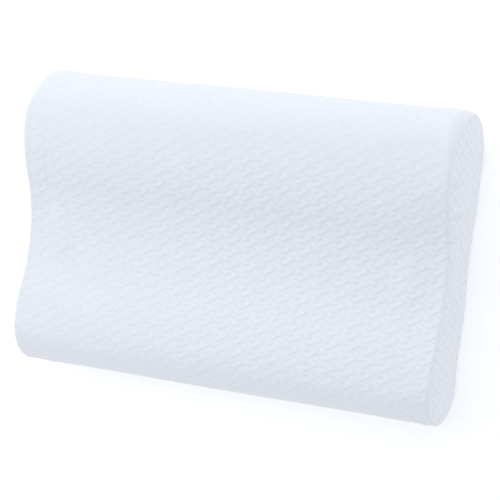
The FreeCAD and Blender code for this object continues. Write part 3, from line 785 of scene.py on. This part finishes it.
MATERIALS = {
    "cover_knit": cover_knit_material(),
    # moulded foam's cream skin
    "foam": finish("foam_skin", (0.86, 0.82, 0.70), 0.95, pores, 0.3, 0.6,
                   ((0.82, 0.775, 0.64), (0.89, 0.855, 0.745)), (30.0, 4.0)),
    # thin jersey: fine wales and courses
    "liner_knit": finish("liner_jersey", (0.80, 0.80, 0.80), 0.9,
                         waves(((1, 0, 0), 1.1), ((0, 1, 0), 0.9)), 0.12, 0.6,
                         ((0.74, 0.745, 0.75), (0.83, 0.83, 0.83)), (2.5, 3.0), "cloth",
                         Sheen_Weight=0.15),
    # spun thread: slanted plies and a soft sheen
    "thread": finish("sewing_thread", (0.78, 0.80, 0.84), 0.6, waves(((0.7, 0.5, 0.5), 0.35)),
                     0.06, 0.6, ((0.72, 0.745, 0.79), (0.84, 0.86, 0.89)), (0.8,),
                     Sheen_Weight=0.3),
    # satin ribbon: long fine floats
    "label_satin": finish("label_satin", (0.86, 0.86, 0.86), 0.35, waves(((0.05, 1, 0), 0.3)),
                          0.03, 0.5, ((0.82, 0.82, 0.825), (0.88, 0.88, 0.88)), (1.2,),
                          Sheen_Weight=0.1),
    # woven tape: twill lines
    "zip_tape": finish("zip_tape_twill", (0.77, 0.79, 0.83), 0.8,
                       waves(((0.8, 0.6, 0), 0.8), ((1, 0, 0), 0.5)), 0.12, 0.8,
                       ((0.71, 0.735, 0.78), (0.80, 0.82, 0.86)), None, "cloth"),
    # drawn nylon wire: satin, slightly clouded
    "zip_nylon": finish("zip_nylon", (0.80, 0.82, 0.86), 0.38, grain(0.5), 0.02, 0.5,
                        ((0.76, 0.785, 0.83), (0.83, 0.85, 0.88)), (3.0,), Coat_Weight=0.15,
                        Subsurface_Weight=0.05),
    # white enamel over a die casting: faint orange peel
    "zip_metal": finish("zip_enamel", (0.80, 0.81, 0.83), 0.3, grain(0.7, 3.0), 0.03, 0.4,
                        ((0.74, 0.75, 0.77), (0.83, 0.84, 0.86)), (2.2, 4.0), Coat_Weight=0.4,
                        Coat_Roughness=0.15),
}


def stand_for(piece, slot, *nodes, body="root"):
    """Give a piece its finish and body, in place of CAD nodes."""
    piece.data.materials.append(MATERIALS[slot])
    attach(piece, body)
    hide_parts(*nodes)


stand_for(cover_top, "cover_knit", "cover_top_panel")
stand_for(cover_bottom, "cover_knit", "cover_bottom_panel")
stand_for(cover_left, "cover_knit", "cover_end_left")
stand_for(cover_right, "cover_knit", "cover_end_right")


# ---------------- foam and liner
CORE_DEPTH = 3.75
CORE_FLAT = 5.5
CORE_HALF = 246.25
END_ROUND = 5.0
LINER_OUT = 3.0
LINER_THICK = 0.6
LINER_FLAT = 4.75
LINER_HALF = 247.0
FOAM_SPACING = 4.0


def zip_flat(point, depth):
    """Points, y and z, brought back under the zip to a plane at a depth below the cover."""
    seat, outward = contour.at(np.array([contour.zip_place]))
    over = (point - seat[0]) @ outward[0] + depth
    return point - np.clip(over, 0, None)[..., None] * outward[0]


def foam_block():
    """The moulded core: the contour less the cover and liner, with softly rounded end edges."""
    distance = round_distances(FOAM_SPACING)
    turn = np.linspace(0, math.pi / 2, 5)[1:]
    straight = np.linspace(-CORE_HALF + END_ROUND, CORE_HALF - END_ROUND, 121)
    reach = END_ROUND * np.sin(turn)
    drop = END_ROUND * (1 - np.cos(turn))
    x = np.concatenate([straight[0] - reach[::-1], straight, straight[-1] + reach])
    depth = CORE_DEPTH + np.concatenate([drop[::-1], np.zeros(len(straight)), drop])
    pressed = depth + hollow(distance[:, None], x)
    body = placed(x, zip_flat(contour.below(distance, pressed), CORE_FLAT))
    normal = contour.at(distance)[1]
    fills = [filled(body[:, column, 1:], normal, FOAM_SPACING) for column in (0, -1)]
    points, quads, end_faces, _ = closed_tube(body, fills)
    return mesh_object("foam_core_soft", points, list(quads[:, ::-1]) + end_faces)


def liner_tube():
    """The liner's wrap: one thin sheet round the core, closed at the front."""
    rows = count_steps(contour.length, FOAM_SPACING) + 1
    distance = np.linspace(0.3, contour.length - 0.3, rows)
    x = np.linspace(-CORE_HALF, CORE_HALF, count_steps(2 * CORE_HALF, FOAM_SPACING) + 1)
    pressed = hollow(distance[:, None], x)
    ripple = 0.12 * np.sin(distance / 17)[:, None] * np.sin(x / 23)
    top = contour.below(distance, LINER_OUT + 0.12 - ripple + pressed)
    under = contour.below(distance, LINER_OUT + LINER_THICK + pressed)
    return thin_sheet("liner_sleeve", x, distance, zip_flat(top, LINER_FLAT + 0.05),
                      zip_flat(under, LINER_FLAT + LINER_THICK))


def liner_end(name, side):
    """An end of the liner, bent in round the foam's rim, as a thin closed sheet."""
    distance = round_distances(5.0)
    depth = LINER_OUT + 0.1 + hollow(distance, side * HALF_WIDTH)
    outline = zip_flat(contour.below(distance, depth), LINER_FLAT + 0.1)
    flat, faces = filled(outline, contour.at(distance)[1], 5.0, (1.5, 3.0))
    x = LINER_HALF - 2.2 * (1 - smooth(gap_to(outline, flat)[0] / 5))
    return end_sheet(name, side, (x, flat, faces), (x - LINER_THICK, flat, faces), len(outline))


foam = foam_block()
liner_sleeve = liner_tube()
liner_caps = [liner_end("liner_cap_left", -1), liner_end("liner_cap_right", 1)]
stand_for(foam, "foam", "foam_core")
stand_for(liner_sleeve, "liner_knit", "liner_wrap")
stand_for(liner_caps[0], "liner_knit", "liner_end_left")
stand_for(liner_caps[1], "liner_knit", "liner_end_right")


# ---------------- stitches and tubes
OFF_AXIS = (0.13, 0.21, 0.97)    # a direction that no thread or wire runs along
SEAM_STITCH = {"pitch": 2.6, "radius": 0.3, "hump": 0.35}
LINER_STITCH = {"pitch": 2.6, "radius": 0.25, "hump": 0.3}
ZIP_STITCH = {"pitch": 2.8, "radius": 0.28, "hump": 0.3}
FRONT_SEAM_HALF = 245.5
FRONT_SEAM_DEPTH = 2.5
COVER_SEAM_IN = 1.7
LINER_SEAM_X = 244.9
LINER_SEAM_DEPTH = 2.9


def tubes(name, paths, radii, sides=6):
    """One mesh of round tubes along paths, each an array of points in millimetres."""
    points, faces, total = [], [], 0
    turn = np.arange(sides) / sides * 2 * math.pi
    cosine, sine = np.cos(turn)[:, None], np.sin(turn)[:, None]
    for path, radius in zip(paths, radii):
        ahead = np.gradient(path, axis=0)
        ahead /= np.linalg.norm(ahead, axis=1, keepdims=True)
        across = np.cross(ahead, np.tile(OFF_AXIS, (len(path), 1)))
        across /= np.linalg.norm(across, axis=1, keepdims=True)
        up = np.cross(across, ahead)
        around = (across[:, None] * cosine + up[:, None] * sine) * np.reshape(radius, (-1, 1, 1))
        points.append((path[:, None] + around).reshape(-1, 3))
        number = np.arange(len(path) * sides).reshape(-1, sides) + total
        base, after = number[:-1], number[1:]
        quads = np.stack([after, np.roll(after, -1, axis=1), np.roll(base, -1, axis=1), base], -1)
        faces += list(quads.reshape(-1, 4))
        faces += [list(number[0]), list(number[-1][::-1])]
        total += number.size
    return mesh_object(name, np.concatenate(points), faces)


def stitch_row(name, at, length, pitch, radius, hump, gap=0.18):
    """A row of lockstitches; at gives points and outward directions for distances along it."""
    count = int(length / pitch)
    paths, radii = [], []
    share = np.linspace(0, 1, 7)
    for number in range(count):
        reach = (number + gap / 2 + share * (1 - gap)) * pitch
        point, outward = at(reach)
        lift = hump * np.sin(share * math.pi) ** 0.7 - radius * 0.4
        paths.append(point + outward * lift[:, None])
        radii.append(radius * (0.55 + 0.45 * np.sin(np.clip(share * 1.1 - 0.05, 0, 1) * math.pi)))
    return tubes(name, paths, radii)


def end_seam_path(side, inset, x):
    """Points along an end seam, the cover's where inset is None; outward is along x."""
    def at(reach):
        distance = np.mod(reach, contour.length)
        pressed = hollow(distance, side * HALF_WIDTH)
        if inset is None:
            flat = contour.below(distance, rounding(distance)[2] + pressed)
            path = placed((x + end_start(distance)) * side, flat)
        else:
            flat = contour.below(distance, inset + pressed)
            path = placed(x * side, zip_flat(flat, LINER_FLAT - 0.1))
        return path, placed(side, np.zeros_like(flat))
    return at


def lengthwise_path(distance, start, depth):
    """Points along x from a start, at a distance along the contour and a depth."""
    def at(reach):
        distances = np.full(reach.shape, distance)
        path = placed(start + reach, contour.below(distances, np.full(reach.shape, depth)))
        return path, placed(0, contour.at(distances)[1])
    return at


for side, word in ((-1, "left"), (1, "right")):
    cover_seam = end_seam_path(side, None, HALF_WIDTH - COVER_SEAM_IN)
    liner_seam = end_seam_path(side, LINER_SEAM_DEPTH, LINER_SEAM_X)
    stand_for(stitch_row(f"seam_stitches_{word}", cover_seam, contour.length, **SEAM_STITCH),
              "thread", f"seam_thread_{word}")
    stand_for(stitch_row(f"liner_stitches_{word}", liner_seam, contour.length, **LINER_STITCH),
              "thread", f"liner_thread_{word}")
front_seam = lengthwise_path(0.0, -FRONT_SEAM_HALF, FRONT_SEAM_DEPTH)
stand_for(stitch_row("seam_stitches_front", front_seam, 2 * FRONT_SEAM_HALF, **SEAM_STITCH),
          "thread", "seam_thread_front")


# ---------------- zip
TAPE_HALF_LENGTH = 235.0
TAPE_NEAR = 0.75
TAPE_FAR = 13.0
TAPE_TOP = 2.15
TAPE_UNDER = 2.75
COIL_HALF_LENGTH = 208.0
COIL_PITCH = 1.4
COIL_WIRE = 0.3
COIL_FAR = 3.2
COIL_CROSS = 0.28
STITCH_PLACE = 7.6
STITCH_DEPTH = 0.55


def zip_tape(name, side):
    """A woven tape under the cover's edge, thicker at its inner rim; side +1 is the lower one."""
    columns = count_steps(2 * TAPE_HALF_LENGTH, 2.0) + 1
    x = np.linspace(-TAPE_HALF_LENGTH, TAPE_HALF_LENGTH, columns)
    across = np.linspace(TAPE_NEAR, TAPE_FAR, 17)
    if side < 0:
        across = -across[::-1]
    rim = 0.12 * bump(np.abs(across), 4.6, 0.9) + 0.1 * bump(np.abs(across), TAPE_FAR, 1.2)
    wave = 0.05 * np.sin(x / 9.0) * smooth((np.abs(across) - 5) / 4)[:, None]
    distance = contour.zip_place + across
    top = contour.below(distance, TAPE_TOP - rim[:, None] + wave)
    under = contour.below(distance, np.full_like(wave, TAPE_UNDER))
    return thin_sheet(name, x, across, top, under)


def zip_coil(name, side):
    """A row of nylon coil loops that reach between the other row's at the middle."""
    height_low, height_high = 0.45, 1.5
    turns = int(2 * COIL_HALF_LENGTH / COIL_PITCH) - 1
    start = -COIL_HALF_LENGTH + COIL_WIRE + (0.2 if side > 0 else 0.2 + COIL_PITCH / 2)
    loop = np.arange(12) / 12
    share = np.concatenate([loop + k for k in range(turns)] + [[turns]])
    angle = share * 2 * math.pi
    middle, reach = (COIL_FAR - COIL_CROSS) / 2, (COIL_FAR + COIL_CROSS) / 2 - COIL_WIRE
    nose = 0.25 * np.clip(-np.cos(angle), 0, 1) ** 4
    across = side * (middle + reach * np.cos(angle))
    out = (height_low + height_high) / 2 + ((height_high - height_low) / 2 + nose) * np.sin(angle)
    point, normal = contour.at(np.full(1, contour.zip_place))
    seat = point[0] - normal[0] * TAPE_TOP
    down = np.array([normal[0][1], -normal[0][0]])
    section = seat + np.outer(out, normal[0]) + np.outer(across, down)
    path = placed(start + share * COIL_PITCH, section)
    return tubes(name, [path], [COIL_WIRE])


zip_tapes = []
for side, word in ((-1, "upper"), (1, "lower")):
    zip_tapes.append(zip_tape(f"tape_{word}", side))
    stand_for(zip_tapes[-1], "zip_tape", f"zip_tape_{word}")
    stand_for(zip_coil(f"coil_{word}", side), "zip_nylon", f"zip_coil_{word}")
    topstitch = lengthwise_path(contour.zip_place + side * STITCH_PLACE, -SLOT_HALF_LENGTH,
                                STITCH_DEPTH)
    stand_for(stitch_row(f"topstitch_{word}", topstitch, 2 * SLOT_HALF_LENGTH, **ZIP_STITCH),
              "thread", f"zip_stitch_{word}")


LABEL_HEIGHT = 2.74
LABEL_THICK = 0.12


def care_label():
    """A blank satin label inside the cover, lying flat with a slight ripple."""
    low, high = (np.array(corner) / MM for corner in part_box("care_label"))
    x = np.linspace(low[0], high[0], 29)
    y = np.linspace(low[1], high[1], 21)
    flat = np.zeros((len(y), len(x), 2))
    flat[..., 0] = y[:, None]
    flat[..., 1] = LABEL_HEIGHT + (0.1 * np.sin((x - low[0]) / 6)
                                   * np.sin((y - low[1]) / 9)[:, None])
    return thin_sheet("label_ribbon", x, y, flat, flat - (0, LABEL_THICK), flip=False)


label = care_label()
stand_for(label, "label_satin", "care_label")


# ---------------- areas within the contour, and the finish of the zip's metal parts
def area_within(depth):
    """The area, in square metres, of the section inside the contour at a depth."""
    distance = np.linspace(0, contour.length, 400)
    outline = contour.below(distance, np.full(400, depth))
    after = np.roll(outline, -1, axis=0)
    twice = np.sum(outline[:, 0] * after[:, 1] - after[:, 0] * outline[:, 1])
    return abs(float(twice)) / 2 * MM * MM


for piece, liner in ((cover_left, "liner_cap_left"), (cover_right, "liner_cap_right")):
    area_within(0.0)
for cap in liner_caps:
    area_within(LINER_OUT + 0.1)

for node in ("zip_top_stop_lower", "zip_top_stop_upper", "zip_bottom_stop", "zip_slider_body",
             "zip_pull_tab"):
    for holder in bpy.data.objects[node].material_slots:
        holder.material = MATERIALS["zip_metal"]


# ---------------- stage, light, camera
def make_floor():
    bpy.ops.mesh.primitive_plane_add(size=8, location=(0, 0, -0.0005))
    floor = bpy.context.object
    floor.name = "floor"
    material = bpy.data.materials.new("floor_paint")
    material.use_nodes = True
    paint = material.node_tree.nodes["Principled BSDF"].inputs
    paint["Base Color"].default_value = (0.95, 0.95, 0.95, 1)
    paint["Roughness"].default_value = 0.9
    paint["Emission Color"].default_value = (1, 1, 1, 1)
    paint["Emission Strength"].default_value = 0.2
    floor.data.materials.append(material)


def area_light(name, place, target, size, power):
    light = bpy.data.lights.new(name, "AREA")
    light.size = size
    light.energy = power
    lamp = link(bpy.data.objects.new(name, light))
    lamp.location = place
    lamp.rotation_euler = (Vector(target) - Vector(place)).to_track_quat("-Z", "Y").to_euler()


CAMERA_AZIMUTH = 95.48
CAMERA_ELEVATION = 64.71
CAMERA_ROLL = -88.40
CAMERA_DISTANCE = 2.1461
CAMERA_AIM = (0.0, 0.0, 0.05)
CAMERA_LENS = 141.9
AIM_SHIFT = (0.01296, -0.01045)


def make_camera():
    azimuth, elevation, roll = (math.radians(a) for a in
                                (CAMERA_AZIMUTH, CAMERA_ELEVATION, CAMERA_ROLL))
    away = Vector((math.sin(azimuth) * math.cos(elevation),
                   -math.cos(azimuth) * math.cos(elevation), math.sin(elevation)))
    ahead = -away
    level = ahead.cross(Vector((0, 0, 1))).normalized()
    up = level.cross(ahead)
    right = math.cos(roll) * level + math.sin(roll) * up
    top = -math.sin(roll) * level + math.cos(roll) * up
    place = Vector(CAMERA_AIM) + away * CAMERA_DISTANCE
    target = Vector(CAMERA_AIM) + right * AIM_SHIFT[0] + top * AIM_SHIFT[1]
    ahead = (target - place).normalized()
    right = ahead.cross(top).normalized()
    top = right.cross(ahead)
    data = bpy.data.cameras.new("camera")
    data.lens = CAMERA_LENS
    data.sensor_width = 36
    data.clip_end = 20
    camera = link(bpy.data.objects.new("camera", data))
    matrix = Matrix((right, top, -ahead)).transposed().to_4x4()
    matrix.translation = place
    camera.matrix_world = matrix
    bpy.context.scene.camera = camera


make_floor()
area_light("top", (-0.35, 1.5, 1.45), (0, 0, 0.05), 1.0, 4.0)
area_light("rear", (0.2, 1.6, 0.7), (0, 0, 0.05), 0.8, 1.7)
area_light("right", (0.9, 1.2, 1.1), (0, 0, 0.05), 0.9, 0.5)
area_light("side", (-1.2, 0.2, 1.2), (0, 0, 0.05), 1.0, 4.2)
bpy.context.scene.view_settings.view_transform = "Standard"
world = bpy.data.worlds.new("studio")
world.use_nodes = True
world.node_tree.nodes["Background"].inputs["Color"].default_value = (0.97, 0.985, 1.0, 1)
world.node_tree.nodes["Background"].inputs["Strength"].default_value = 0.81
bpy.context.scene.world = world
make_camera()
